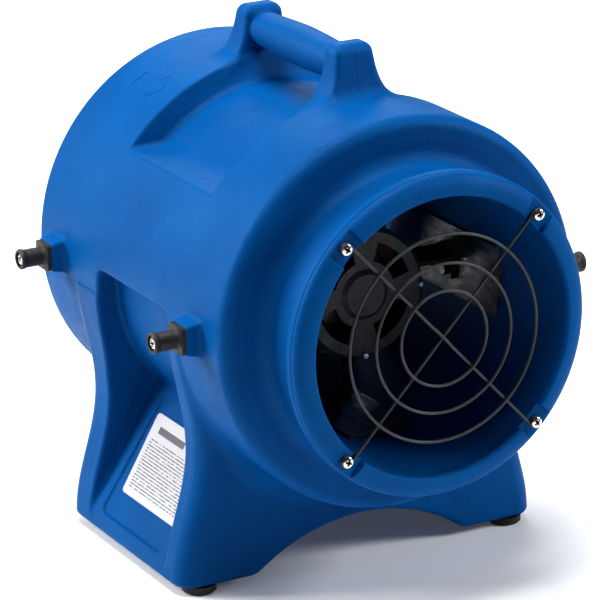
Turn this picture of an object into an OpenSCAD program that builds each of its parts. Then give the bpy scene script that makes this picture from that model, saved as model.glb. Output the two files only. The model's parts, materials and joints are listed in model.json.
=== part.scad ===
// Portable axial air mover with a moulded drum housing.
// Origin on the floor, below the middle of the machine. +Z is up, and air
// is drawn in at +Y and blown out at -Y. Lengths are in millimetres.

/* [Drum] */
// Outside diameter of the drum
drum_d = 375; // [369:1:381]
// Height of the fan axis above the floor
axis_z = 268; // [266:1:272]
// Bore of the air tunnel
tunnel_d = 262; // [260:1:264]
// Thickness of the moulded wall
wall = 4.5; // [4:0.5:5]

/* [Outlet] */
// Diameter of the duct collar round the outlet
collar_d = 305; // [303:1:307]
// Diameter of the neck behind the collar
neck_d = 286; // [284:1:290]
// Length of the straight band of the collar
collar_band = 10; // [8:1:11]

/* [Base] */
// Width of the base at the floor
base_w = 388; // [384:1:394]
// Length of the base, front to back
base_l = 239; // [236:1:242]
// Width of the arch under the base
arch_w = 226; // [216:2:230]
// Height of the arch
arch_h = 39; // [32:1:42]
// Height of the rubber feet
foot_h = 8; // [7:1:9]
// Diameter of the rubber feet
foot_d = 33; // [30:1:36]

/* [Handle] */
// Diameter of the grip at its middle
grip_d = 39; // [36:1:40]
// Diameter of the grip at its ends
grip_end_d = 33; // [30:1:36]
// Height of the grip's axis above the fan axis
grip_z = 212.5; // [211:0.5:214]

/* [Guards] */
// Diameter of the guard wire
wire_d = 3; // [2.6:0.2:3.2]
// Radius of the circle of guard screws
screw_circle = 141; // [140.5:0.5:141.5]
// Number of rings in the inlet guard
inlet_rings = 5; // [5:1:5]

/* [Motor and impeller] */
// Diameter of the motor
motor_d = 128; // [126:1:130]
// Diameter of the shaft in its bearings
shaft_d = 15; // [15:1:15]
// Diameter over the tips of the blades
blade_tip_d = 253; // [248:1:254]
// Number of impeller blades
blades = 5; // [4:1:6]
// Pitch of the blades, in degrees from the fan's plane
blade_pitch = 30; // [26:1:32]

/* [Cord posts] */
// Reach of the cord posts from the middle of the machine
post_reach = 230; // [226:1:234]
// Distance between the front and rear posts
post_span = 279; // [276:1:282]

/* [Hidden] */
$fn = 64;
eps = 0.01;
round_fn = 96;
drum_r = drum_d / 2;
tunnel_r = tunnel_d / 2;
collar_r = collar_d / 2;
neck_r = neck_d / 2;
motor_r = motor_d / 2;
shaft_r = shaft_d / 2;
wire_r = wire_d / 2;

// Stations along the fan axis, front to back
nose_y = -227.5;          // foremost point of the outlet lip
collar_y = -217;          // front edge of the collar band
pad_y = -221.5;           // flat pads below the outlet guard screws
drum_front = -155;
drum_rear = 226;
motor_front = -84;
bell_l = 24;
can_front = motor_front + bell_l;
can_rear = 32;
rear_bell_l = 22;
motor_rear = can_rear + rear_bell_l;
hub_front = motor_rear + 14;
hub_l = 42;
core_l = 72;
core_y = (can_front + can_rear) / 2;
bearing_w = 11;
bearing_d = 35;
bearing_y = [motor_front + 9, motor_rear - 17];  // front face of each bearing
arm_y = core_y;
lead_y = 22;
wall_plate_y = [-114, 28];

// Drum corners and lips
drum_round = 13;
lip_inner = 134;
neck_fillet = 15;
mouth_round = 18;
seam_y = drum_front - neck_fillet;  // where the outlet meets the drum

// Hollows in the drum
core_r = 166;             // floor of the handle recess and back of the pockets
recess_y = [-63, 100];
recess_ledge = 115;       // height of the recess ends above the axis
pocket_y = [-43, 114];
cut_y = [-42, 99];        // where the drum is divided into its three lengths
cut_x = 100;              // where the base is divided into its middle and its sides
collar_core = neck_r - 3;   // the tunnel's tube is this thick in front of the drum
pocket_top = 5;           // above the axis
cut_z = pocket_top - 0.5;   // where the outer wall of the drum's middle is divided, from the axis
web_lean = 30;
web_c = 43.5;             // distance of the pocket's back plane from the axis
panel_c = 41;             // the same for the panel sunk in it
panel_w = 124;
panel_h = 116;
panel_y = 36;
panel_z = -191;           // middle of the panel, from the axis
label_v = 10.5;           // middle of the label, up the slope from the panel's middle

// Base
base_y = 40;              // middle of the base
base_bottom = foot_h - axis_z;
waist_z = -130;
waist_x = 170;
shoulder_z = -10;
base_top = -45;
base_round = 5;

// Guards
guard_angles = [45, 135, 225, 315];
ring_r = [97.6, 70.4, 44.7];
eye_r = 4.6;
guard_y = pad_y - wire_r;         // plane of the cross wires
ring_y = guard_y - wire_d + 0.2;  // plane of the rings in front of them
inlet_pad_y = drum_rear - 4.5;
inlet_wire_y = inlet_pad_y + wire_r;
inlet_ring_y = inlet_wire_y + wire_d - 0.2;
inlet_ring_r = [for (i = [0 : inlet_rings - 1]) 24 + 23 * i];
head_d = 10.4;
head_h = 3;
pad_w = 29;

// Impeller hub and the shaft's end under it
stub_r = 6;
hub_r = 36;
hub_bore_end = hub_front + hub_l - 12;

// Motor mount
arm_t = 4;
arm_l = 44;
plate_thick = 2.5;
plate_r = tunnel_r - plate_thick;

// Handle posts
post_y = [-78, 102];      // front face of each handle post
post_t = 34;
post_top = 236;
post_half_top = 20;
post_half_foot = 40;
post_round = 8;
grip_y = [post_y[0] + post_t, post_y[1]];

// Cord posts
boss_w = 28;
boss_x = 201.5;
flange_w = 26.5;
flange_t = 4;
cord_post_z = -2;
cord_post_r = 9;
cord_tip_r = 10;
cord_bore = 2.6;
cord_y = [base_y - post_span / 2, base_y + post_span / 2];
cord_head_r = 6.3;

// Feet
foot_x = 168;
foot_y = 104;

// Switch
plate_w = 104;
plate_h = 74;
plate_t = 2.5;
switch_u = 20;
rocker_rest = -12;
rocker_l = 22;
rocker_w = 12;
gland_u = -26;
gland_bore = 4.5;
cap_d = 35;
cap_l = 62;

// ---------- helpers ----------

// Points of an arc, angles in degrees
function arc(cx, cy, rx, ry, a0, a1, n) =
  [for (i = [0 : n]) [cx + rx * cos(a0 + (a1 - a0) * i / n),
                      cy + ry * sin(a0 + (a1 - a0) * i / n)]];

// Smooth step from 0 to 1
function ease(t) = (1 - cos(180 * min(1, max(0, t)))) / 2;

// Half-width of the base at height z above the axis, inset by g
function side_x(z, g) = z > waist_z
  ? waist_x + (drum_r - waist_x) * ease((z - waist_z) / (shoulder_z - waist_z)) - g
  : waist_x + (base_w / 2 - waist_x) * ease((waist_z - z) / (waist_z - base_bottom - 2)) - g;

// Puts children, drawn along Z, on the fan axis; their -Y becomes up
module on_axis(y = 0) {
  translate([0, y, axis_z]) rotate([-90, 0, 0]) children();
}

// An XZ outline, measured from the fan axis, drawn from y0 to y1
module prism(y0, y1) {
  translate([0, y1, axis_z]) rotate([90, 0, 0]) linear_extrude(y1 - y0) children();
}

module tube(r_out, r_in, h) {
  difference() {
    cylinder(h = h, r = r_out);
    translate([0, 0, -1]) cylinder(h = h + 2, r = r_in);
  }
}

module ring_wire(r, fn = 96) {
  rotate_extrude($fn = fn) translate([r, 0]) circle(r = wire_r, $fn = 20);
}

// A straight length of wire from a to b
module bar(a, b, r) {
  d = b - a;
  l = norm(d);
  translate(a)
    rotate([0, acos(d[2] / l), atan2(d[1], d[0])]) cylinder(h = l, r = r, $fn = 20);
}

// Square outline with round corners, centred
module round_rect(w, h, r) {
  translate([-w / 2 + r, -h / 2]) square([w - 2 * r, h]);
  translate([-w / 2, -h / 2 + r]) square([w, h - 2 * r]);
  for (sx = [-1, 1], sy = [-1, 1])
    translate([sx * (w / 2 - r), sy * (h / 2 - r)]) circle(r = r, $fn = 32);
}

// Pan head with a cross recess, top at z = h, shank below z = 0
module pan_screw(hd, hh, sd, sl) {
  difference() {
    union() {
      cylinder(h = hh * 0.55, d = hd, $fn = 40);
      translate([0, 0, hh * 0.55]) cylinder(h = hh * 0.45, d1 = hd, d2 = hd * 0.62, $fn = 40);
    }
    for (a = [0, 90])
      rotate(a) translate([-hd * 0.24, -hd * 0.055, hh * 0.4]) cube([hd * 0.48, hd * 0.11, hh]);
  }
  translate([0, 0, -sl]) cylinder(h = sl + 0.1, d = sd, $fn = 32);
}

module hex_bolt(af, hh, sd, sl) {
  cylinder(h = hh, d = af / cos(30), $fn = 6);
  translate([0, 0, -sl]) cylinder(h = sl + 0.1, d = sd, $fn = 32);
}

// ---------- housing ----------

// Outline of the outlet, tunnel to outer skin, as radius and station
function outlet_outline() = concat(
  [[tunnel_r, seam_y], [neck_r, seam_y],
   [neck_r, collar_y + collar_band + 4], [collar_r, collar_y + collar_band]],
  arc(lip_inner, collar_y, collar_r - lip_inner, collar_y - nose_y, 0, -90, 8),
  arc(lip_inner, nose_y + 6, lip_inner - tunnel_r, 6, -100, -180, 4)
);

// Outline of the drum behind it
function drum_outline() = concat(
  [[tunnel_r, seam_y]],
  arc(tunnel_r + mouth_round, drum_rear - mouth_round, mouth_round, mouth_round, 180, 90, 8),
  arc(drum_r - drum_round, drum_rear - drum_round, drum_round, drum_round, 90, 0, 8),
  arc(drum_r - drum_round, drum_front + drum_round, drum_round, drum_round, 0, -90, 8),
  arc(neck_r + neck_fillet, seam_y, neck_fillet, neck_fillet, 90, 180, 8)
);

// Space inside the drum's two walls
function drum_hollow() = [
  [tunnel_r + wall, drum_front + wall],
  [drum_r - wall - 8, drum_front + wall],
  [drum_r - wall, drum_front + wall + 8],
  [drum_r - wall, drum_rear - wall - 8],
  [drum_r - wall - 8, drum_rear - wall],
  [tunnel_r + wall + mouth_round, drum_rear - wall],
  [tunnel_r + wall, drum_rear - wall - mouth_round]
];

// Recess under the handle, grown by g
module recess(g) {
  difference() {
    translate([-drum_r, recess_y[0] - g, axis_z + recess_ledge - g])
      cube([drum_d, recess_y[1] - recess_y[0] + 2 * g, drum_r]);
    on_axis(recess_y[0] - g - 1)
      cylinder(h = recess_y[1] - recess_y[0] + 2 * g + 2, r = core_r - g, $fn = round_fn);
  }
}

// Point of the plane at distance c from the axis, at height z, on the left
function web_x(c, z) = (z * sin(web_lean) - c) / cos(web_lean);

// Pocket in the left side of the base and drum, grown by g
module pocket(g, c) {
  far_z = -360;
  difference() {
    prism(pocket_y[0] - g, pocket_y[1] + g)
      polygon([[-260, pocket_top + g], [web_x(c - g, pocket_top + g), pocket_top + g],
               [web_x(c - g, far_z), far_z], [-260, far_z]]);
    on_axis(pocket_y[0] - g - 1)
      cylinder(h = pocket_y[1] - pocket_y[0] + 2 * g + 2, r = core_r - g, $fn = round_fn);
  }
}

// Both pockets
module pockets(g, c = web_c) {
  pocket(g, c);
  mirror([1, 0, 0]) pocket(g, c);
}

// Frame on the right-hand pocket's panel: X runs along the machine, Y up the
// slope and Z out of it
module on_panel(c = panel_c) {
  translate([-web_x(c, panel_z), panel_y, axis_z + panel_z])
    rotate([0, -web_lean, 0]) rotate([90, 0, 90]) children();
}

module panel_sink() {
  linear_extrude(10) round_rect(panel_w, panel_h, 8);
}

module drum_solid() {
  difference() {
    union() {
      on_axis() rotate_extrude($fn = round_fn) polygon(drum_outline());
      for (sx = [-1, 1], y = cord_y)
        translate([sx * (boss_x + 178) / 2, y, axis_z + cord_post_z])
          cube([boss_x - 178, boss_w, boss_w], center = true);
    }
    recess(0);
    pockets(0);
  }
}

module housing_outlet() {
  color([0.0, 0.40, 0.75])
  difference() {
    on_axis() rotate_extrude($fn = round_fn) polygon(outlet_outline());
    on_axis() guard_cuts();
  }
}

module drum_walls() {
  difference() {
    drum_solid();
    difference() {
      on_axis() rotate_extrude($fn = round_fn) polygon(drum_hollow());
      recess(wall);
      pockets(wall);
      guard_blocks();
    }
    on_axis() guard_cuts();
    for (sx = [-1, 1], y = cord_y)
      translate([sx * boss_x, y, axis_z + cord_post_z]) rotate([0, -sx * 90, 0])
        translate([0, 0, -1]) cylinder(h = 24, r = cord_bore, $fn = 32);
    lead_axis() translate([0, 0, tunnel_r - 10]) cylinder(h = 20, r = 7);
    wall_bolt_places() cylinder(h = 30, r = 3, $fn = 32);
  }
}

// The drum's walls between two stations
module drum_slice(y0, y1) {
  intersection() {
    drum_walls();
    translate([-260, y0, 0]) cube([520, y1 - y0, 560]);
  }
}

// Room for the air tunnel's tube, cut out of the lengths that stand round it
module tunnel_room(y0, y1) {
  on_axis(y0) cylinder(h = y1 - y0, r = tunnel_r + wall + 10, $fn = round_fn);
}

module housing_front() {
  color([0.0, 0.37, 0.72]) difference() {
    drum_slice(seam_y - 1, cut_y[0]);
    tunnel_room(drum_front + wall, cut_y[0] + 1);
    on_axis(seam_y - 1) cylinder(h = neck_fillet + wall + 2, r = collar_core, $fn = round_fn);
  }
}

module housing_rear() {
  color([0.0, 0.34, 0.68]) drum_slice(cut_y[1], drum_rear + 1);
}

// The drum's middle has two walls, and this is the outer one between two heights
module middle_wall(z0, z1) {
  intersection() {
    drum_slice(cut_y[0], cut_y[1]);
    translate([-260, cut_y[0], z0]) cube([520, cut_y[1] - cut_y[0], z1 - z0]);
  }
}

module housing_middle_top() {
  color([0.0, 0.36, 0.70]) difference() {
    middle_wall(axis_z + cut_z, axis_z + drum_d);
    tunnel_room(cut_y[0] - 1, cut_y[1] + 1);
  }
}

module housing_middle_bottom() {
  color([0.0, 0.36, 0.70]) difference() {
    middle_wall(axis_z - drum_d, axis_z + cut_z);
    tunnel_room(cut_y[0] - 1, cut_y[1] + 1);
  }
}

// The inner one, from the outlet to the drum's rear length, thick in front of the drum
module housing_tunnel() {
  color([0.0, 0.32, 0.64]) difference() {
    on_axis() rotate_extrude($fn = round_fn)
      polygon([[tunnel_r, seam_y], [collar_core, seam_y], [collar_core, drum_front + wall],
               [tunnel_r + wall, drum_front + wall], [tunnel_r + wall, cut_y[1]], [tunnel_r, cut_y[1]]]);
    lead_axis() translate([0, 0, tunnel_r - 10]) cylinder(h = 20, r = 7);
    wall_bolt_places() cylinder(h = 30, r = 3, $fn = 32);
  }
}

// Solid material left behind the inlet guard's pads
module guard_blocks() {
  on_axis() for (a = guard_angles)
    rotate(a) translate([screw_circle, 0, drum_rear - 30]) cylinder(h = 30, r = 12);
}

// Flat pads and insert bores for the guard screws
module guard_cuts() {
  for (a = guard_angles) rotate(a) {
    translate([screw_circle - 14, -pad_w / 2, pad_y - 20]) cube([24, pad_w, 20]);
    translate([screw_circle, 0, pad_y - 1]) cylinder(h = 15, r = 4);
    translate([screw_circle - 14, -pad_w / 2, inlet_pad_y]) cube([24, pad_w, 20]);
    translate([screw_circle, 0, inlet_pad_y - 14]) cylinder(h = 15, r = 4);
  }
}

// Outline of the base: bottom, right side, top, left side and the arch
function base_outline(g) =
  let (
    n = 14,
    z0 = base_bottom + g,
    right = [for (i = [0 : n]) let (z = base_bottom + base_round +
              (base_top - base_bottom - base_round) * i / n) [side_x(z, g), z]],
    left = [for (i = [n : -1 : 0]) [-right[i][0], right[i][1]]],
    arch_r = (pow(arch_w / 2, 2) + pow(arch_h, 2)) / (2 * arch_h),
    arch_cz = base_bottom + arch_h - arch_r,
    half = asin((arch_w / 2) / arch_r) - (g > 0 ? 1.5 : 0)
  )
  concat(
    [[side_x(base_bottom, g) - base_round, z0]],
    right, left,
    [[-side_x(base_bottom, g) + base_round, z0]],
    [[-(arch_r + g) * sin(half) - g, z0]],
    [for (i = [-6 : 6]) [(arch_r + g) * sin(half * i / 6), arch_cz + (arch_r + g) * cos(half * i / 6)]],
    [[(arch_r + g) * sin(half) + g, z0]]
  );

module base_blank(g) {
  y0 = base_y - base_l / 2 + g;
  y1 = base_y + base_l / 2 - g;
  difference() {
    prism(y0, y1) polygon(base_outline(g));
    on_axis(y0 - 1) cylinder(h = y1 - y0 + 2, r = drum_r + g, $fn = round_fn);
  }
}

module base_walls() {
  difference() {
    base_blank(0);
    pockets(0);
    on_panel() panel_sink();
    mirror([1, 0, 0]) on_panel() panel_sink();
    difference() {
      base_blank(wall);
      pockets(wall + web_c - panel_c);
    }
    on_panel() translate([0, 0, -20]) linear_extrude(21) round_rect(plate_w - 16, plate_h - 16, 4);
    foot_places() translate([0, 0, -1]) cylinder(h = wall + 2, r = 2.1, $fn = 32);
    plate_screw_places() translate([0, 0, -12]) cylinder(h = 13, r = 1.6, $fn = 32);
  }
}

// The base's walls between two stations across it
module base_slice(x0, x1) {
  intersection() {
    base_walls();
    translate([x0, -100, 0]) cube([x1 - x0, 300, 300]);
  }
}
module housing_base_left() { color([0.0, 0.34, 0.68]) base_slice(-260, -cut_x); }
module housing_base_middle() { color([0.0, 0.36, 0.70]) base_slice(-cut_x, cut_x); }
module housing_base_right() { color([0.0, 0.34, 0.68]) base_slice(cut_x, 260); }

// Outline of a handle post, from the fan axis
function post_outline() = concat(
  [[-post_half_foot, 150], [post_half_foot, 150]],
  arc(post_half_top - post_round + 4, post_top - post_round, post_round, post_round, 8, 90, 5),
  arc(-post_half_top + post_round - 4, post_top - post_round, post_round, post_round, 90, 172, 5)
);

module carry_handle() {
  color([0.0, 0.37, 0.72])
  difference() {
    union() {
      for (y = post_y) prism(y, y + post_t) polygon(post_outline());
      on_axis() translate([0, -grip_z, 0]) grip();
    }
    drum_solid();
  }
}

// The grip is a barrel, thickest at its middle
module grip() {
  l = grip_y[1] - grip_y[0];
  rise = (grip_d - grip_end_d) / 2;
  barrel_r = (pow(l / 2, 2) + pow(rise, 2)) / (2 * rise);
  spread = asin(l / 2 / barrel_r);
  translate([0, 0, (grip_y[0] + grip_y[1]) / 2])
    rotate_extrude($fn = 48)
      polygon(concat([[0, -l / 2]],
        [for (i = [-8 : 8]) [grip_d / 2 - barrel_r * (1 - cos(spread * i / 8)),
                             barrel_r * sin(spread * i / 8)]],
        [[0, l / 2]]));
}

// ---------- guards ----------

module guard_steel() { color([0.32, 0.32, 0.33]) children(); }
module bright_steel() { color([0.80, 0.80, 0.78]) children(); }

module outlet_ring(i) {
  guard_steel() on_axis(ring_y) ring_wire(ring_r[i]);
}
module outlet_guard_ring_large() { outlet_ring(0); }
module outlet_guard_ring_middle() { outlet_ring(1); }
module outlet_guard_ring_small() { outlet_ring(2); }

// Eye that the screw passes through, and the wire from eye to eye
module cross_wire(step) {
  e = screw_circle - eye_r;
  r = wire_r - 0.05;
  for (s = [-1, 1]) translate([s * screw_circle, 0, 0]) ring_wire(eye_r, 40);
  if (step == 0) {
    bar([-e, 0, 0], [e, 0, 0], r);
  } else {
    for (s = [-1, 1]) {
      bar([s * e, 0, 0], [s * 15, 0, 0], r);
      bar([s * 16, 0, 0], [s * 5, 0, step], r - 0.2);
    }
    bar([-6, 0, step], [6, 0, step], r);
  }
}

module outlet_guard_wires() {
  guard_steel() on_axis(guard_y) {
    rotate(-45) cross_wire(0);
    rotate(45) cross_wire(-wire_d + 0.2);
  }
}

module inlet_ring(i) {
  guard_steel() on_axis(inlet_ring_y) ring_wire(inlet_ring_r[i]);
}
module inlet_guard_ring_1() { inlet_ring(0); }
module inlet_guard_ring_2() { inlet_ring(1); }
module inlet_guard_ring_3() { inlet_ring(2); }
module inlet_guard_ring_4() { inlet_ring(3); }
module inlet_guard_ring_5() { inlet_ring(4); }

module inlet_guard_wires() {
  guard_steel() on_axis(inlet_wire_y) {
    rotate(45) cross_wire(0);
    rotate(-45) cross_wire(wire_d - 0.2);
  }
}

module outlet_guard_screws() {
  bright_steel() on_axis() for (a = guard_angles)
    rotate(a) translate([screw_circle, 0, pad_y - wire_d]) mirror([0, 0, 1])
      pan_screw(head_d, head_h, 5, 14);
}

module inlet_guard_screws() {
  bright_steel() on_axis() for (a = guard_angles)
    rotate(a) translate([screw_circle, 0, inlet_pad_y + wire_d])
      pan_screw(head_d, head_h, 5, 14);
}

// Brass threaded inserts moulded into the pads
module guard_inserts() {
  color([0.78, 0.62, 0.25]) on_axis() for (a = guard_angles) rotate(a) {
    translate([screw_circle, 0, pad_y]) tube(4, 2.5, 12);
    translate([screw_circle, 0, inlet_pad_y - 12]) tube(4, 2.5, 12);
  }
}

// ---------- motor ----------

module motor_can() {
  color([0.20, 0.20, 0.21])
  difference() {
    on_axis(can_front) tube(motor_r, motor_r - 3, can_rear - can_front);
    for (a = [0 : 90 : 270]) arm_bolt_places(a) translate([0, 0, -6]) cylinder(h = 8, r = 2.5, $fn = 32);
    lead_axis() translate([0, 0, motor_r - 8]) cylinder(h = 10, r = 5.2, $fn = 32);
  }
}

// Curved slots round the hub of a bell
module bell_slots(depth) {
  for (a = [45 : 90 : 315]) rotate(a)
    intersection() {
      tube(50, 32, depth);
      rotate(-28) cube([60, 60, depth]);
      rotate(-62) cube([60, 60, depth]);
    }
}

// End bell drawn with its outer face at z = 0 and its rim towards +Z
module bell(l, seat, dome) {
  difference() {
    union() {
      translate([0, 0, 4]) cylinder(h = l - 4, r = motor_r);
      cylinder(h = 4.01, r1 = motor_r - 4, r2 = motor_r);
      if (dome) translate([0, 0, -3]) cylinder(h = 4, r1 = 20, r2 = 26);
    }
    translate([0, 0, 5]) cylinder(h = l, r = motor_r - 7);
    translate([0, 0, -1]) bell_slots(7);
    for (a = [0 : 90 : 270]) rotate(a)
      translate([motor_r - 4, 0, -1]) cylinder(h = l + 2, r = 2.1, $fn = 32);
    if (!dome) translate([0, 0, -1]) cylinder(h = 10, r = shaft_r + 1);
  }
  // Bearing seat with four ribs
  difference() {
    union() {
      translate([0, 0, 4.5]) cylinder(h = seat + bearing_w - 4.5, r = bearing_d / 2 + 4);
      for (a = [0 : 90 : 270]) rotate(a)
        translate([bearing_d / 2 + 2, -2, 4.5]) cube([motor_r - 8.5 - bearing_d / 2, 4, l - 12]);
    }
    translate([0, 0, seat]) cylinder(h = bearing_w + 2, r = bearing_d / 2);
    translate([0, 0, dome ? 4.6 : 0]) cylinder(h = 40, r = shaft_r + 2);
  }
}

module front_end_bell() {
  color([0.24, 0.24, 0.25]) on_axis(motor_front) bell(bell_l, bearing_y[0] - motor_front, true);
}

module rear_end_bell() {
  color([0.24, 0.24, 0.25]) on_axis(motor_rear) mirror([0, 0, 1])
    bell(rear_bell_l, motor_rear - bearing_y[1] - bearing_w, false);
}

module end_bell_screws() {
  bright_steel() on_axis() for (a = [0 : 90 : 270]) rotate(a) translate([motor_r - 4, 0, 0]) {
    translate([0, 0, motor_front]) mirror([0, 0, 1]) pan_screw(7, 3, 3.6, 12);
    translate([0, 0, motor_rear]) pan_screw(7, 3, 3.6, 12);
  }
}

module stator_core() {
  color([0.45, 0.45, 0.47]) on_axis(core_y - core_l / 2) tube(motor_r - 3, 37.8, core_l);
}

module stator_winding(y) {
  color([0.72, 0.38, 0.16]) on_axis(y) tube(54, 41, 8);
}
module stator_winding_front() { stator_winding(core_y - core_l / 2 - 8); }
module stator_winding_rear() { stator_winding(core_y + core_l / 2); }

module bearing_outer_rings() {
  bright_steel() for (y = bearing_y) on_axis(y) tube(bearing_d / 2, 13, bearing_w);
}
module bearing_inner_rings() {
  bright_steel() for (y = bearing_y) on_axis(y) tube(12, shaft_r, bearing_w);
}

// ---------- rotor ----------

module shaft() {
  color([0.70, 0.70, 0.72]) on_axis() {
    translate([0, 0, bearing_y[0] - 1]) cylinder(h = hub_front - bearing_y[0] + 1, r = shaft_r);
    translate([0, 0, hub_front]) cylinder(h = hub_bore_end + 14 - hub_front, r = stub_r);
  }
}

module rotor_core() {
  color([0.55, 0.55, 0.57]) on_axis(core_y - core_l / 2) tube(37.3, shaft_r, core_l);
}

// One cambered blade, root at the hub, reaching out along X
module blade() {
  chord = 84;
  sag = 9;
  t = 3.2;
  br = (pow(chord / 2, 2) + pow(sag, 2)) / (2 * sag);
  half = asin(chord / 2 / br);
  rotate([blade_pitch, 0, 0])
    translate([hub_r - 3, 0, 0]) rotate([90, 0, 90])
      linear_extrude(blade_tip_d / 2 - hub_r + 6)
        polygon(concat(
          [for (i = [-8 : 8]) [br * sin(half * i / 8), br * cos(half * i / 8) - br + sag / 2]],
          [for (i = [8 : -1 : -8]) [(br - t) * sin(half * i / 8),
                                    (br - t) * cos(half * i / 8) - br + sag / 2]]));
}

module impeller() {
  color([0.13, 0.13, 0.14]) on_axis(hub_front) {
    intersection() {
      translate([0, 0, hub_l / 2]) for (i = [0 : blades - 1]) rotate(i * 360 / blades) blade();
      translate([0, 0, -20]) cylinder(h = hub_l + 40, r = blade_tip_d / 2, $fn = round_fn);
    }
    difference() {
      union() {
        cylinder(h = hub_l - 6, r = hub_r);
        translate([0, 0, hub_l - 6]) cylinder(h = 6, r1 = hub_r, r2 = hub_r - 6);
      }
      translate([0, 0, -1]) cylinder(h = hub_l + 2, r = stub_r);
      translate([0, 0, hub_l - 12]) cylinder(h = 13, r = 15);
    }
  }
}

module impeller_washer() {
  bright_steel() on_axis(hub_bore_end) tube(12, stub_r, 1.6);
}

module impeller_nut() {
  bright_steel() on_axis(hub_bore_end + 1.6) difference() {
    cylinder(h = 8, d = 19 / cos(30), $fn = 6);
    translate([0, 0, -1]) cylinder(h = 10, r = stub_r);
  }
}

// ---------- motor mount ----------

// Curved backing plate on the tunnel wall, at angle a from +X towards +Z
module wall_plate(a) {
  color([0.62, 0.63, 0.64]) on_axis() rotate(-a)
    difference() {
      intersection() {
        translate([0, 0, wall_plate_y[0]]) tube(tunnel_r, plate_r, wall_plate_y[1] - wall_plate_y[0]);
        translate([0, -34, wall_plate_y[0]]) cube([200, 68, wall_plate_y[1] - wall_plate_y[0]]);
      }
      for (s = [-1, 1]) translate([plate_r - 10, 12, arm_y + s * 12])
        rotate([0, 90, 0]) cylinder(h = 20, r = 3, $fn = 32);
    }
}
module wall_plates() {
  for (a = [0 : 90 : 270]) wall_plate(a);
}

// Places of the bolts through an arm's inner foot, Z pointing out
module arm_bolt_places(a) {
  on_axis() rotate(-a) for (s = [-1, 1])
    translate([motor_r, 10, arm_y + s * 12]) rotate([0, 90, 0]) children();
}

// Folded steel arm from the motor to the backing plate
module mount_arm(a) {
  color([0.16, 0.16, 0.17])
  difference() {
    on_axis() rotate(-a) difference() {
      union() {
        translate([motor_r - 6, -arm_t / 2, arm_y - arm_l / 2]) cube([plate_r - motor_r + 8, arm_t, arm_l]);
        translate([motor_r - 6, -arm_t / 2, arm_y - arm_l / 2]) cube([10.5, 20, arm_l]);
        translate([plate_r - 5.5, -arm_t / 2, arm_y - arm_l / 2]) cube([8, 22, arm_l]);
      }
      translate([0, 0, arm_y - arm_l]) cylinder(h = 2 * arm_l, r = motor_r);
      translate([0, 0, arm_y - arm_l]) tube(200, plate_r, 2 * arm_l);
      for (s = [-1, 1]) translate([plate_r - 12, 12, arm_y + s * 12])
        rotate([0, 90, 0]) cylinder(h = 20, r = 3, $fn = 32);
    }
    arm_bolt_places(a) translate([0, 0, -4]) cylinder(h = 12, r = 2.5, $fn = 32);
  }
}
module mount_arms() { for (a = [0 : 90 : 270]) mount_arm(a); }

// Places of the bolts through the arms' outer feet, Z pointing out
module wall_bolt_places() {
  on_axis() for (a = [0 : 90 : 270]) rotate(a) for (s = [-1, 1])
    translate([plate_r - 5.5, 12, arm_y + s * 12]) rotate([0, 90, 0]) children();
}

// Bolts, each with a flange nut in the hollow of the drum
module mount_wall_bolts() {
  bright_steel() wall_bolt_places() {
    mirror([0, 0, 1]) hex_bolt(10, 4, 5.9, 19);
    translate([0, 0, 8 + wall]) difference() {
      union() {
        translate([0, 0, 1.5]) cylinder(h = 4, d = 10 / cos(30), $fn = 6);
        cylinder(h = 1.6, r = 7);
      }
      translate([0, 0, -1]) cylinder(h = 8, r = 3, $fn = 32);
    }
  }
}

module mount_motor_bolts() {
  bright_steel() for (a = [0 : 90 : 270]) arm_bolt_places(a)
    translate([0, 0, 4.5]) hex_bolt(8, 3.5, 4.9, 7.2);
}

// Line of the motor lead, Z pointing out to the lower right
module lead_axis() {
  on_axis(lead_y) rotate(45) rotate([0, 90, 0]) children();
}

module motor_lead() {
  color([0.05, 0.05, 0.05]) lead_axis() translate([0, 0, motor_r - 2.8])
    cylinder(h = tunnel_r + 14 - motor_r, r = 5, $fn = 40);
}

module lead_grommet() {
  color([0.07, 0.07, 0.07]) lead_axis() difference() {
    union() {
      translate([0, 0, tunnel_r - 3.5]) cylinder(h = 3, r = 10);
      translate([0, 0, tunnel_r - 1]) cylinder(h = wall + 2, r = 7);
    }
    translate([0, 0, tunnel_r - 6]) cylinder(h = 20, r = 5, $fn = 40);
  }
}

// ---------- cord posts, feet and label ----------

// Rubber post with a square flange, drawn along +Z from its boss
module cord_post() {
  l = post_reach - boss_x;
  difference() {
    union() {
      linear_extrude(flange_t) round_rect(flange_w, flange_w, 4);
      rotate_extrude($fn = 48) polygon(concat(
        [[0, flange_t - eps]],
        arc(cord_post_r + 3, flange_t + 3, 3, 3, 270, 180, 4),
        [[cord_post_r, l - 6]],
        [[cord_tip_r, l - 3], [cord_tip_r, l - 1], [cord_tip_r - 1, l], [0, l]]));
    }
    translate([0, 0, -1]) cylinder(h = l, r = cord_bore, $fn = 32);
    translate([0, 0, l - 4.5]) cylinder(h = 5, r = cord_head_r + 0.9, $fn = 40);
  }
}

// Places of the posts: sx is -1 on the left, i is 0 at the front
module at_cord_post(sx, i) {
  translate([sx * boss_x, cord_y[i], axis_z + cord_post_z]) rotate([0, sx * 90, 0]) children();
}

module rubber() { color([0.06, 0.06, 0.06]) children(); }

module cord_post_front_left() { rubber() at_cord_post(-1, 0) cord_post(); }
module cord_post_front_right() { rubber() at_cord_post(1, 0) cord_post(); }
module cord_post_rear_left() { rubber() at_cord_post(-1, 1) cord_post(); }
module cord_post_rear_right() { rubber() at_cord_post(1, 1) cord_post(); }

module cord_post_screws() {
  l = post_reach - boss_x;
  bright_steel() for (sx = [-1, 1], i = [0, 1]) at_cord_post(sx, i)
    translate([0, 0, l - 4.5]) pan_screw(2 * cord_head_r, 3.6, 2 * cord_bore - 0.1, l + 14);
}

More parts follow.
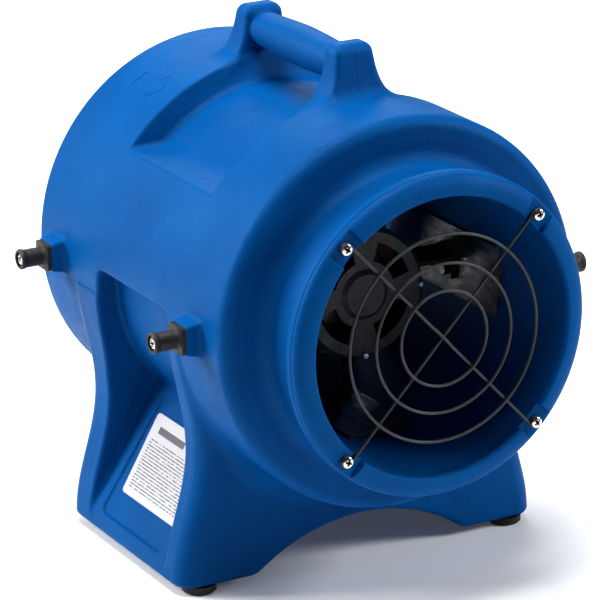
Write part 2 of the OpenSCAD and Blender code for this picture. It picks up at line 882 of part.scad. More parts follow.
// Places of the feet, on the underside of the base, Z pointing up
module foot_places() {
  for (sx = [-1, 1], sy = [-1, 1])
    translate([sx * foot_x, base_y + sy * foot_y, foot_h]) children();
}

module foot_pads() {
  rubber() foot_places() difference() {
    translate([0, 0, -foot_h]) union() {
      cylinder(h = 2.01, d1 = foot_d - 4, d2 = foot_d);
      translate([0, 0, 2]) cylinder(h = foot_h - 2, d = foot_d);
    }
    translate([0, 0, -foot_h - 1]) cylinder(h = foot_h - 2, r = 5.2, $fn = 40);
    translate([0, 0, -foot_h - 1]) cylinder(h = foot_h + 2, r = 2.1, $fn = 32);
  }
}

module foot_screws() {
  bright_steel() foot_places() translate([0, 0, -3]) mirror([0, 0, 1])
    pan_screw(9, 2.8, 4, 12);
}

module rating_label() {
  color([0.93, 0.93, 0.92]) mirror([1, 0, 0]) on_panel() translate([-7, label_v, 0])
    linear_extrude(0.6) round_rect(108, 84, 4);
}

// ---------- switch, inlet gland and capacitor ----------

module plate_screw_places() {
  for (su = [-1, 1], sv = [-1, 1])
    on_panel() translate([su * (plate_w / 2 - 5), sv * (plate_h / 2 - 5), 0]) children();
}

module switch_plate() {
  color([0.10, 0.10, 0.11])
  difference() {
    on_panel() linear_extrude(plate_t) difference() {
      round_rect(plate_w, plate_h, 5);
      translate([switch_u - 8, -14]) square([16, 28]);
      translate([gland_u, 0]) circle(r = 8);
    }
    plate_screw_places() translate([0, 0, -1]) cylinder(h = 6, r = 1.8, $fn = 32);
  }
}

module switch_plate_screws() {
  bright_steel() plate_screw_places() translate([0, 0, plate_t]) pan_screw(7, 2.2, 3.1, 10);
}

// Case with a bezel; the rocker turns in its open top
module switch_body() {
  color([0.05, 0.05, 0.05]) on_panel() translate([switch_u, 0, 0]) difference() {
    union() {
      translate([-10, -16, plate_t]) cube([20, 32, 2.5]);
      translate([-8, -14, -20]) cube([16, 28, 23]);
    }
    translate([-rocker_w / 2 - 0.6, -rocker_l / 2 - 1.4, -4]) cube([rocker_w + 1.2, rocker_l + 2.8, 20]);
    translate([-7.5, 0, 1.5]) rotate([0, 90, 0]) cylinder(h = 15, r = 1.3, $fn = 32);
  }
}

// Rocker on its pivot, tilted to the off position
module switch_rocker() {
  color([0.60, 0.05, 0.04]) on_panel() translate([switch_u, 0, 1.5]) rotate([rocker_rest, 0, 0]) {
    translate([-rocker_w / 2, 0, 0]) rotate([90, 0, 90]) linear_extrude(rocker_w)
      polygon([[-rocker_l / 2, 5], [-rocker_l / 2, 0.5], [-5, -2.6], [5, -2.6],
               [rocker_l / 2, 0.5], [rocker_l / 2, 5], [0, 3.6]]);
    translate([-7.4, 0, 0]) rotate([0, 90, 0]) cylinder(h = 14.8, r = 1.25, $fn = 32);
  }
}

// Gland that the supply cord enters by
module cable_gland() {
  color([0.05, 0.05, 0.05]) on_panel() translate([gland_u, 0, 0]) difference() {
    union() {
      translate([0, 0, -14]) cylinder(h = 16, r = 8);
      translate([0, 0, -4]) cylinder(h = 4, d = 24, $fn = 6);
      translate([0, 0, plate_t]) cylinder(h = 5, d = 24, $fn = 6);
      translate([0, 0, plate_t + 5]) cylinder(h = 9, r1 = 9.5, r2 = 7.5);
      translate([0, 0, 1.9]) cylinder(h = 1, r = 8);
    }
    translate([0, 0, -15]) cylinder(h = 40, r = gland_bore);
  }
}

module run_capacitor() {
  color([0.30, 0.30, 0.32]) on_panel() translate([-cap_l / 2, 0, -50]) rotate([0, 90, 0])
    cylinder(h = cap_l, d = cap_d);
}

// Strap that holds the capacitor behind the switch plate
module capacitor_clip() {
  color([0.62, 0.63, 0.64]) on_panel() {
    translate([-8, 0, -50]) rotate([0, 90, 0]) tube(cap_d / 2 + 1.5, cap_d / 2, 16);
    translate([-8, cap_d / 2 + 0.1, -50]) cube([16, 1.4, 50]);
  }
}

// ---------- parts ----------

housing_outlet();
housing_front();
housing_middle_top();
housing_middle_bottom();
housing_tunnel();
housing_rear();
housing_base_left();
housing_base_middle();
housing_base_right();
carry_handle();
outlet_guard_ring_large();
outlet_guard_ring_middle();
outlet_guard_ring_small();
outlet_guard_wires();
outlet_guard_screws();
inlet_guard_ring_1();
inlet_guard_ring_2();
inlet_guard_ring_3();
inlet_guard_ring_4();
inlet_guard_ring_5();
inlet_guard_wires();
inlet_guard_screws();
guard_inserts();
motor_can();
front_end_bell();
rear_end_bell();
end_bell_screws();
stator_core();
stator_winding_front();
stator_winding_rear();
bearing_outer_rings();
bearing_inner_rings();
shaft();
rotor_core();
impeller();
impeller_nut();
impeller_washer();
wall_plates();
mount_arms();
mount_wall_bolts();
mount_motor_bolts();
motor_lead();
lead_grommet();
cord_post_front_left();
cord_post_front_right();
cord_post_rear_left();
cord_post_rear_right();
cord_post_screws();
foot_pads();
foot_screws();
rating_label();
switch_plate();
switch_plate_screws();
switch_body();
switch_rocker();
cable_gland();
run_capacitor();
capacitor_clip();
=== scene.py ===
import math
import json
import bpy
import bmesh
import numpy as np
import openvdb
from mathutils import Matrix, Vector


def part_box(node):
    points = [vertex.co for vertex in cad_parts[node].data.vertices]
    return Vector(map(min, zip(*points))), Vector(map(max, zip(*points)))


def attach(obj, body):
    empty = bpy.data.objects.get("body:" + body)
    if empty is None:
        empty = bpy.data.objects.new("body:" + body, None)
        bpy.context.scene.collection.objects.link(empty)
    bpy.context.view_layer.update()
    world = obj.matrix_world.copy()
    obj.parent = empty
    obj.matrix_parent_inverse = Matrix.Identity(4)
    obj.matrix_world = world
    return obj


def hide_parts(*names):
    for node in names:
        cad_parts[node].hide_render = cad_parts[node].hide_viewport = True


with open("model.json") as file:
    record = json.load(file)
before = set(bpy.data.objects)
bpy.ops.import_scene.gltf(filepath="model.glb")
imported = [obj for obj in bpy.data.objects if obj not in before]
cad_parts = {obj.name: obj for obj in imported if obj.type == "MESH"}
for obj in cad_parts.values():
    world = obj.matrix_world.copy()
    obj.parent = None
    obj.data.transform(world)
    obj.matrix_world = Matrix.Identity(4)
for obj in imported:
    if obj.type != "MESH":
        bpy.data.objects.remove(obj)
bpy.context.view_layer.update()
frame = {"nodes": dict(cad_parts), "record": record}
record = frame["record"]
slotOf = {s["node"]: s["material_slot"] for s in record["subparts"]}
mm = 0.001


def boxOf(start):
    # the box round the nodes whose names begin so, in millimetres
    boxes = [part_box(n) for n in frame["nodes"] if n.startswith(start)]
    return (Vector([min(b[0][i] for b in boxes) for i in range(3)]) / mm,
            Vector([max(b[1][i] for b in boxes) for i in range(3)]) / mm)


housingLow, housingHigh = boxOf("housing_")
baseLow, baseHigh = boxOf("housing_base")
axisZ = record["mounts"][0]["pos_m"][2] / mm
print("frame loaded:", len(frame["nodes"]), "nodes")


def addNode(tree, kind, **values):
    # values name node properties, or input sockets when no such property exists
    n = tree.nodes.new(kind)
    for key, value in values.items():
        if hasattr(n, key):
            setattr(n, key, value)
        else:
            n.inputs[key].default_value = value
    return n


def meshObject(name, verts, faces, edges=()):
    m = bpy.data.meshes.new(name)
    m.from_pydata(np.asarray(verts).tolist(), list(edges), [list(map(int, f)) for f in faces])
    m.update()
    o = bpy.data.objects.new(name, m)
    bpy.context.scene.collection.objects.link(o)
    return o


def smoothByAngle(o, degrees):
    o.data.shade_smooth()
    o.data.set_sharp_from_angle(angle=math.radians(degrees))


def finishPiece(o, body, slotName, *nodes):
    o.data.materials.clear()
    o.data.materials.append(finish[slotName])
    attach(o, body)
    if nodes:
        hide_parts(*nodes)
    return o


def noiseTexture(tree, coords, scale, detail=2.0, roughness=0.5, stretch=None):
    source = coords
    if stretch:
        mapping = addNode(tree, "ShaderNodeMapping", Scale=stretch)
        tree.links.new(coords, mapping.inputs["Vector"])
        source = mapping.outputs["Vector"]
    n = addNode(tree, "ShaderNodeTexNoise", Scale=scale, Detail=detail, Roughness=roughness)
    tree.links.new(source, n.inputs["Vector"])
    return n.outputs["Fac"]


def ramp(tree, value, low, high, lowAt=0.3, highAt=0.7):
    r = tree.nodes.new("ShaderNodeValToRGB")
    e = r.color_ramp.elements
    e[0].position, e[1].position = lowAt, highAt
    e[0].color, e[1].color = (*low, 1), (*high, 1)
    tree.links.new(value, r.inputs["Fac"])
    return r.outputs["Color"]


def spread(tree, value, low, high):
    r = addNode(tree, "ShaderNodeMapRange")
    r.inputs["From Min"].default_value = 0.3
    r.inputs["From Max"].default_value = 0.7
    r.inputs["To Min"].default_value = low
    r.inputs["To Max"].default_value = high
    tree.links.new(value, r.inputs["Value"])
    return r.outputs["Result"]


def plainStart(name):
    m = bpy.data.materials.new(name)
    m.use_nodes = True
    tree = m.node_tree
    shader = next(n for n in tree.nodes if n.type == "BSDF_PRINCIPLED")
    coords = tree.nodes.new("ShaderNodeTexCoord").outputs["Object"]
    return m, tree, shader, coords


def addBump(tree, shader, height, distance, strength=1.0, under=None):
    b = addNode(tree, "ShaderNodeBump", Distance=distance, Strength=strength)
    tree.links.new(height, b.inputs["Height"])
    if under:
        tree.links.new(under, b.inputs["Normal"])
    tree.links.new(b.outputs["Normal"], shader.inputs["Normal"])
    return b.outputs["Normal"]


def surface(name, dark, light, rough, metallic=0.0, patch=20.0, grain=None, stretch=None,
            grainStretch=None, roughPatch=None, **sockets):
    # colour and roughness drift over patches, and the grain is a bump (scale, depth in metres)
    m, tree, shader, coords = plainStart(name)
    drift = noiseTexture(tree, coords, patch, 4.0, 0.55, stretch)
    tree.links.new(ramp(tree, drift, dark, light), shader.inputs["Base Color"])
    wear = noiseTexture(tree, coords, roughPatch or patch * 3.1, 3.0, 0.6, stretch)
    tree.links.new(spread(tree, wear, rough[0], rough[1]), shader.inputs["Roughness"])
    shader.inputs["Metallic"].default_value = metallic
    for key, value in sockets.items():
        shader.inputs[key.replace("_", " ")].default_value = value
    if grain:
        height = noiseTexture(tree, coords, grain[0], 2.0, 0.6, grainStretch)
        addBump(tree, shader, height, grain[1])
    return m


moulding = {
    "darkBlue": (0.0, 0.066, 0.225), "lightBlue": (0.0, 0.088, 0.285),
    "roughness": (0.40, 0.52), "specular": 0.06,
    "pebble": 480.0, "pebbleDepth": 0.00042,
    "grain": 1300.0, "grainDepth": 0.00022,
}


def mouldedBlue():
    # satin polyethylene: a pebbled skin from the mould, with a finer grain over it
    m, tree, shader, coords = plainStart("mouldedBlue")
    drift = noiseTexture(tree, coords, 9.0, 4.0, 0.6)
    tree.links.new(ramp(tree, drift, moulding["darkBlue"], moulding["lightBlue"]),
                   shader.inputs["Base Color"])
    shader.inputs["Specular IOR Level"].default_value = moulding["specular"]
    sheen = noiseTexture(tree, coords, 42.0, 3.0, 0.6)
    tree.links.new(spread(tree, sheen, *moulding["roughness"]), shader.inputs["Roughness"])
    pebble = noiseTexture(tree, coords, moulding["pebble"], 2.0, 0.5)
    first = addBump(tree, shader, pebble, moulding["pebbleDepth"])
    grain = noiseTexture(tree, coords, moulding["grain"], 2.0, 0.6)
    addBump(tree, shader, grain, moulding["grainDepth"], 1.0, first)
    return m


# places on the label in millimetres; its face leans back by lean degrees
film = {"lean": 30.0, "row": 3.1, "inkShare": 0.40, "halfLength": 47.0, "halfHeight": 36.0,
        "textBelow": 17.0, "blockFrom": 24.0, "blockTo": 31.0, "blockMiddle": 14.0, "blockHalf": 26.0,
        "wordScale": 0.42, "rowStep": 3.7, "wordAbove": 0.44, "strength": 0.85,
        "paper": (0.60, 0.60, 0.615, 1), "ink": (0.05, 0.05, 0.06, 1), "roughness": 0.30,
        "wrinkle": 60.0, "wrinkleDepth": 0.0002}


def printedFilm():
    # white film with rows of plain grey dashes and no letters
    m, tree, shader, coords = plainStart("printedFilm")
    lo, hi = [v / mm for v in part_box("rating_label")]
    mid = (lo + hi) / 2
    frameNode = addNode(tree, "ShaderNodeMapping", vector_type="TEXTURE")
    frameNode.inputs["Location"].default_value = mid * mm
    frameNode.inputs["Rotation"].default_value = (0, math.radians(film["lean"]), 0)
    frameNode.inputs["Scale"].default_value = (mm, mm, mm)
    tree.links.new(coords, frameNode.inputs["Vector"])
    split = tree.nodes.new("ShaderNodeSeparateXYZ")
    tree.links.new(frameNode.outputs["Vector"], split.inputs["Vector"])
    along, up = split.outputs["Y"], split.outputs["Z"]

    def calc(operation, a, b=None):
        n = addNode(tree, "ShaderNodeMath", operation=operation)
        for i, v in enumerate((a, b)):
            if v is None:
                continue
            if isinstance(v, (int, float)):
                n.inputs[i].default_value = v
            else:
                tree.links.new(v, n.inputs[i])
        return n.outputs[0]

    rows = calc("DIVIDE", up, film["row"])
    rowNumber = calc("FLOOR", rows)
    inRow = calc("LESS_THAN", calc("FRACT", rows), film["inkShare"])
    wordsAt = tree.nodes.new("ShaderNodeCombineXYZ")
    tree.links.new(calc("MULTIPLY", along, film["wordScale"]), wordsAt.inputs["X"])
    tree.links.new(calc("MULTIPLY", rowNumber, film["rowStep"]), wordsAt.inputs["Y"])
    words = addNode(tree, "ShaderNodeTexNoise", Scale=1.0, Detail=3.0)
    tree.links.new(wordsAt.outputs["Vector"], words.inputs["Vector"])
    inWord = calc("GREATER_THAN", words.outputs["Fac"], film["wordAbove"])
    inside = calc("MULTIPLY", calc("LESS_THAN", calc("ABSOLUTE", along), film["halfLength"]),
                  calc("LESS_THAN", calc("ABSOLUTE", up), film["halfHeight"]))
    text = calc("MULTIPLY", calc("LESS_THAN", up, film["textBelow"]), calc("MULTIPLY", inRow, inWord))
    inBand = calc("MULTIPLY", calc("GREATER_THAN", up, film["blockFrom"]),
                  calc("LESS_THAN", up, film["blockTo"]))
    fromBlock = calc("ABSOLUTE", calc("SUBTRACT", along, film["blockMiddle"]))
    block = calc("MULTIPLY", inBand, calc("LESS_THAN", fromBlock, film["blockHalf"]))
    ink = calc("MULTIPLY", inside, calc("MAXIMUM", text, block))
    mix = addNode(tree, "ShaderNodeMix", data_type="RGBA")
    mix.inputs[6].default_value = film["paper"]
    mix.inputs[7].default_value = film["ink"]
    tree.links.new(calc("MULTIPLY", ink, film["strength"]), mix.inputs[0])
    tree.links.new(mix.outputs[2], shader.inputs["Base Color"])
    shader.inputs["Roughness"].default_value = film["roughness"]
    wrinkle = noiseTexture(tree, coords, film["wrinkle"], 2.0, 0.5)
    addBump(tree, shader, wrinkle, film["wrinkleDepth"], 0.5)
    return m


def windingPaintedShade():
    m, tree, shader, coords = plainStart("varnishedWindingPaintedShade")
    strands = addNode(tree, "ShaderNodeTexWave", Scale=260.0, Distortion=1.5, Detail=2.0)
    tree.links.new(coords, strands.inputs["Vector"])
    # painted shade: the varnished copper winding is coloured near black, standing in for the shade inside
    # the motor's slots
    tree.links.new(ramp(tree, strands.outputs["Fac"], (0.020, 0.007, 0.003), (0.075, 0.024, 0.008)),
                   shader.inputs["Base Color"])
    shader.inputs["Roughness"].default_value = 0.25
    addBump(tree, shader, strands.outputs["Fac"], 0.0006)
    return m


finish = {
    "blue_housing": mouldedBlue(),
    "guard_wire": surface("coatedWire", (0.026, 0.026, 0.028), (0.046, 0.046, 0.050), (0.34, 0.48),
                          patch=120, grain=(1800, 0.00006), Specular_IOR_Level=0.4),
    "brass": surface("brassInsert", (0.42, 0.27, 0.07), (0.62, 0.42, 0.14), (0.25, 0.4), 1.0, 200),
    "motor_paint": surface("castingPaint", (0.016, 0.017, 0.020), (0.044, 0.045, 0.050), (0.34, 0.56),
                           patch=60, grain=(700, 0.00035)),
    "lamination_steel": surface("laminations", (0.10, 0.10, 0.11), (0.26, 0.26, 0.27), (0.35, 0.55), 0.9,
                                patch=60, stretch=(1, 30, 1), grain=(400, 0.0003),
                                grainStretch=(0.1, 6, 0.1)),
    "winding_copper": windingPaintedShade(),
    # painted shade and reflection: the zinc is coloured near black to sit in the tunnel's shade, and its
    # lighter streaks are a painted reflection
    "zinc_plate": surface("zincSheetPaintedShadeAndStreaks", (0.008, 0.009, 0.012), (0.20, 0.205, 0.215), (0.24, 0.5), 0.7,
                          patch=70, stretch=(3.0, 0.5, 1.0), grain=(900, 0.00008),
                          grainStretch=(3, 0.4, 1)),
    "arm_paint": surface("armPaint", (0.008, 0.008, 0.009), (0.022, 0.022, 0.024), (0.35, 0.55),
                         patch=50, grain=(900, 0.0002)),
    "impeller_plastic": surface("filledNylon", (0.008, 0.008, 0.009), (0.020, 0.020, 0.022), (0.4, 0.6),
                                patch=40, grain=(1200, 0.00012)),
    "black_rubber": surface("postRubber", (0.006, 0.006, 0.006), (0.022, 0.021, 0.020), (0.42, 0.68),
                            patch=90, grain=(1100, 0.00035)),
    "label_film": printedFilm(),
    "black_plastic": surface("switchPlastic", (0.008, 0.008, 0.008), (0.018, 0.018, 0.019), (0.35, 0.5),
                             patch=70, grain=(1600, 0.00012)),
    "red_rocker": surface("rockerRed", (0.42, 0.012, 0.008), (0.52, 0.020, 0.012), (0.14, 0.24),
                          patch=80, grain=(900, 0.00003), Coat_Weight=0.4),
    "capacitor_case": surface("drawnCan", (0.42, 0.43, 0.44), (0.60, 0.61, 0.62), (0.25, 0.4), 1.0,
                              patch=40, stretch=(1, 12, 1)),
    "shaft_steel": surface("groundSteel", (0.45, 0.45, 0.46), (0.62, 0.62, 0.63), (0.18, 0.3), 1.0,
                           patch=90, grain=(900, 0.00004), grainStretch=(1, 8, 1)),
    "bright_steel": surface("nickelPlate", (0.60, 0.60, 0.58), (0.86, 0.86, 0.84), (0.12, 0.28), 1.0,
                            patch=160, grain=(1400, 0.00004)),
}


def darkenRecess(m):
    # painted shade: the driver recess of a screw is darkened towards near black, painted from the mesh's
    # own attribute
    tree = m.node_tree
    shader = tree.nodes["Principled BSDF"]
    unshadedColour = shader.inputs["Base Color"].links[0].from_socket
    depth = addNode(tree, "ShaderNodeAttribute", attribute_name="recess")
    mix = addNode(tree, "ShaderNodeMix", data_type="RGBA")
    tree.links.new(depth.outputs["Fac"], mix.inputs[0])
    tree.links.new(unshadedColour, mix.inputs[6])
    # near-black colour of the painted shade in the recess
    mix.inputs[7].default_value = (0.012, 0.011, 0.010, 1)
    tree.links.new(mix.outputs[2], shader.inputs["Base Color"])


darkenRecess(finish["bright_steel"])
for name, node in frame["nodes"].items():
    for slotEntry in node.material_slots:
        slotEntry.material = finish[slotOf[name]]
    if not node.material_slots:
        node.data.materials.append(finish[slotOf[name]])
print("materials ready:", len(finish))

# the outer skin is the zero level of a distance field, in millimetres from the fan axis

def cutRound(a, b, r):
    # both a and b, with the corner between them rounded to r
    return np.minimum(np.maximum(a, b), -r) + np.hypot(np.maximum(a + r, 0), np.maximum(b + r, 0))


def joinRound(a, b, r):
    # a or b, with a fillet of radius r where they meet
    return np.maximum(np.minimum(a, b), r) - np.hypot(np.maximum(r - a, 0), np.maximum(r - b, 0))


def ease(t):
    return (1 - np.cos(np.pi * np.clip(t, 0, 1))) / 2


drum = {"radius": housingHigh.z - axisZ, "front": -155.0, "rear": housingHigh.y,
        "frontRound": 12.0, "rearRound": 9.0, "faceSeam": 170.0}
base = {"front": baseLow.y, "rear": baseHigh.y, "bottom": baseLow.z - axisZ, "halfWidth": 194.0,
        "waist": 170.0, "waistZ": -130.0, "shoulderZ": -10.0, "cornerRound": 20.0,
        "bottomRound": 4.5, "archHalf": 113.0, "archHeight": 39.0, "archRound": 5.0,
        "drumFillet": 26.0}
recess = {"floor": 166.0, "front": -61.5, "rear": 91.0, "ledge": 114.7, "ledgeOut": 148.4,
          "ledgeRise": 0.142, "rim": 1.6, "inner": 4.5}
pocket = {"top": 5.0, "front": -43.0, "rear": 114.0, "lean": 30.0, "web": 43.5, "core": 166.0,
          "rim": 3.6, "inner": 7.0}
panel = {"depth": 2.5, "length": 124.0, "height": 128.0, "rise": 6.0, "slant": 0.10, "flare": 0.9,
         "y": 36.0, "z": -191.0, "corner": 8.0, "opening": (88.0, 58.0, 30.0)}
handle = {"gripZ": 212.5, "gripMid": 29.0, "gripHalf": 73.0, "radius": 19.6, "endLoss": 3.1,
          "top": 236.0, "halfTop": 19.0, "halfFoot": 38.0, "footZ": 182.0, "edge": 6.0,
          "frontPost": (-68.0, -82.0, -44.0), "rearPost": (126.0, 140.0, 102.0), "fillet": 9.0}
boss = {"half": 14.0, "out": 201.5, "z": -2.0, "draft": 0.18, "stations": (-99.5, 179.5),
        "round": 3.0, "fillet": 4.5}


def sideHalfWidth(z):
    up = (z - base["waistZ"]) / (base["shoulderZ"] - base["waistZ"])
    down = (base["waistZ"] - z) / (base["waistZ"] - base["bottom"])
    return base["waist"] + np.where(z > base["waistZ"],
                                    (drum["radius"] - base["waist"]) * ease(up),
                                    (base["halfWidth"] - base["waist"]) * ease(down))


def baseField(ax, y, z):
    midY = (base["front"] + base["rear"]) / 2
    halfY = (base["rear"] - base["front"]) / 2
    sides = (ax - sideHalfWidth(z)) * 0.95
    walls = cutRound(sides, np.abs(y - midY) - halfY, base["cornerRound"])
    body = cutRound(cutRound(walls, base["bottom"] - z, base["bottomRound"]), z + 20.0, 2.0)
    archR = (base["archHalf"] ** 2 + base["archHeight"] ** 2) / (2 * base["archHeight"])
    arch = np.hypot(ax, z - (base["bottom"] + base["archHeight"] - archR)) - archR
    return cutRound(body, -arch, base["archRound"])


def handleField(x, y, z):
    ax = np.abs(x)
    t = (handle["top"] - z) / (handle["top"] - handle["footZ"])
    half = handle["halfTop"] + (handle["halfFoot"] - handle["halfTop"]) * (
        0.35 * np.clip(t, 0, 1.2) + 0.65 * np.clip(t, 0, 1.2) ** 4)
    both = None
    for topY, footY, barY in (handle["frontPost"], handle["rearPost"]):
        out = -1 if topY < barY else 1
        face = topY + (footY - topY) * (0.6 * t + 0.4 * np.clip(t, 0, 1.2) ** 4)
        slab = np.maximum((y - face) * out, (barY - y) * out)
        post = cutRound(cutRound(ax - half, slab, handle["edge"]), z - handle["top"], 9.0)
        post = np.maximum(post, 155.0 - z)
        both = post if both is None else np.minimum(both, post)
    away = np.clip(np.abs(y - handle["gripMid"]) / handle["gripHalf"], 0, 1.2)
    grip = np.hypot(x, z - handle["gripZ"]) - (handle["radius"] - handle["endLoss"] * away ** 1.4)
    grip = np.maximum(grip, np.abs(y - handle["gripMid"]) - handle["gripHalf"] - 8)
    return joinRound(both, grip, 2.0)


def recessField(ax, y, z, r):
    deep = r - recess["floor"]
    front = recess["front"] - 0.12 * deep - y
    rear = y - recess["rear"] - 0.5 * deep
    ends = recess["ledge"] + recess["ledgeRise"] * (recess["ledgeOut"] - ax) - z
    walls = cutRound(np.maximum(front, ends), rear, recess["inner"])
    return cutRound(walls, -deep, 5.0)


def pocketField(ax, y, z, r):
    lean = math.radians(pocket["lean"])
    web = pocket["web"] - ax * math.cos(lean) - z * math.sin(lean)
    ends = np.maximum(pocket["front"] - 5.0 * np.clip((z + 90) / 95, 0, 1) - y,
                      y - pocket["rear"] + 20.0 * np.clip((z + 110) / 115, 0, 1))
    walls = cutRound(z - pocket["top"], ends, pocket["inner"])
    back = joinRound(-(pocket["core"] - r), -web, 4.0)
    return cutRound(walls, -back, 4.0)


def panelField(x, y, z, size, depth, rise=0.0, slant=0.0, flare=0.0):
    # a sunk rectangle lying on the leaning web, on the side where x is positive
    lean = math.radians(pocket["lean"])
    web = pocket["web"] - panel["depth"]
    px = (web - panel["z"] * math.sin(lean)) / math.cos(lean)
    up = (z - panel["z"]) * math.cos(lean) - (x - px) * math.sin(lean)
    out = (x - px) * math.cos(lean) + (z - panel["z"]) * math.sin(lean)
    along = np.maximum(y + slant * (up + size[1] / 2), 2 * panel["y"] - y) - panel["y"]
    flat = cutRound(along - size[0] / 2, np.abs(up - rise) - size[1] / 2, panel["corner"])
    return np.maximum(flat - flare * out, np.maximum(-out - depth, out - 12.0))


def bossField(ax, y, z):
    both = None
    for at in boss["stations"]:
        grow = boss["draft"] * (boss["out"] - ax)
        square = cutRound(np.abs(y - at) - boss["half"] - grow * 0.6,
                          np.abs(z - boss["z"]) - boss["half"] - grow, boss["round"])
        one = cutRound(square, np.maximum(ax - boss["out"], 150.0 - ax), 1.2)
        both = one if both is None else np.minimum(both, one)
    return both


def housingField(x, y, zUp):
    z = zUp - axisZ
    ax = np.abs(x)
    r = np.hypot(x, z)
    body = cutRound(r - drum["radius"], drum["front"] - y, drum["frontRound"])
    body = cutRound(body, y - drum["rear"], drum["rearRound"])
    body = cutRound(body, -recessField(ax, y, z, r), recess["rim"])
    # the fillet between drum and base fades out where their sides run together
    fade = np.clip((185.0 - ax) / 60.0, 0.02, 1) * np.clip((-z - 20.0) / 60.0, 0.02, 1)
    body = joinRound(body, baseField(ax, y, z), base["drumFillet"] * fade)
    body = joinRound(body, handleField(x, y, z), handle["fillet"])
    body = joinRound(body, bossField(ax, y, z), boss["fillet"])
    body = cutRound(body, -pocketField(ax, y, z, r), pocket["rim"])
    sunk = panelField(ax, y, z, (panel["length"], panel["height"]), 0.0, panel["rise"],
                      panel["slant"], panel["flare"])
    body = cutRound(body, -sunk, 0.6)
    opening = panelField(x, y, z, panel["opening"][:2], panel["opening"][2])
    return np.maximum(body, -opening)


def fieldNormals(points, step):
    g = np.empty_like(points)
    for i in range(3):
        d = np.zeros(3)
        d[i] = step
        g[:, i] = housingField(*(points + d).T) - housingField(*(points - d).T)
    return g / (2 * step)


skin = {"cell": 2.4, "margin": 9.0, "baseTop": 150.0}


def housingSkins():
    cell = skin["cell"]
    low = np.array([-boss["out"], drum["front"], baseLow.z]) - skin["margin"]
    high = np.array([boss["out"], drum["rear"], axisZ + handle["top"]]) + skin["margin"]
    axes = [np.arange(low[i], high[i], cell) for i in range(3)]
    values = housingField(axes[0][:, None, None], axes[1][None, :, None],
                          axes[2][None, None, :]).astype(np.float32)
    grid = openvdb.FloatGrid(4 * cell)
    grid.copyFromArray(np.clip(values, -4 * cell, 4 * cell))
    points, quads = grid.convertToQuads(0.0)
    points = points.astype(float) * cell + low
    for _ in range(3):      # draw each corner onto the zero level
        slope = fieldNormals(points, 0.05)
        f = housingField(*points.T)
        move = slope * (f / np.maximum((slope ** 2).sum(1), 0.2))[:, None]
        points -= np.clip(move, -cell, cell)
    # the middle of both end faces belongs to the tunnel
    radius = np.hypot(points[:, 0], points[:, 2] - axisZ)
    onFace = (points[:, 1] < drum["front"] + 0.8) | (points[:, 1] > drum["rear"] - 0.8)
    inner = onFace & (radius < drum["faceSeam"])
    gone = inner[quads].all(1)
    quads = quads[~gone]
    used = np.zeros(len(points), bool)
    used[quads] = True
    rim = inner & used
    scale = drum["faceSeam"] / radius[rim]
    points[rim, 0] *= scale
    points[rim, 2] = axisZ + (points[rim, 2] - axisZ) * scale
    normals = fieldNormals(points, 0.35)
    normals /= np.maximum(np.linalg.norm(normals, axis=1), 1e-6)[:, None]
    # quads are turned so that they face along the field
    c = points[quads]
    faceN = np.cross(c[:, 2] - c[:, 0], c[:, 3] - c[:, 1])
    turned = (faceN * normals[quads].mean(1)).sum(1) < 0
    quads[turned] = quads[turned][:, ::-1]
    middle = points[quads].mean(1)
    isBase = middle[:, 2] < skin["baseTop"]
    made = []
    for name, keep in (("drumSkin", ~isBase), ("baseSkin", isBase)):
        q = quads[keep]
        ids, flat = np.unique(q, return_inverse=True)
        o = meshObject(name, points[ids] * mm, flat.reshape(-1, 4))
        o.data.shade_smooth()
        o.data.normals_split_custom_set_from_vertices(normals[ids].tolist())
        made.append(o)
        print(name, len(q) * 2, "triangles")
    return made


drumSkin, baseSkin = housingSkins()
tunnelNodes = [n for n in frame["nodes"] if n in ("housing_outlet", "housing_tunnel")]
baseNodes = [n for n in frame["nodes"] if n.startswith("housing_base")]
drumNodes = [n for n in frame["nodes"] if n.startswith("housing_") and n not in tunnelNodes + baseNodes]
finishPiece(drumSkin, "root", "blue_housing", "carry_handle", *drumNodes)
finishPiece(baseSkin, "root", "blue_housing", *baseNodes)

# the tunnel with its lips is turned about the fan axis
tunnel = {"radius": 131.0, "neck": 143.0, "collar": 152.5, "bandRear": -207.0, "bandFront": -217.0,
          "lip": 134.0, "nose": -227.5, "neckFillet": 15.0, "mouth": 18.0, "padFront": -221.5,
          "padRear": 221.5, "padHalf": 6.0, "padEdge": 0.22, "stepLine": 0.5}


def arcPoints(cx, cy, rx, ry, a0, a1, n):
    return [(cx + rx * math.cos(math.radians(a0 + (a1 - a0) * i / n)),
             cy + ry * math.sin(math.radians(a0 + (a1 - a0) * i / n))) for i in range(n + 1)]


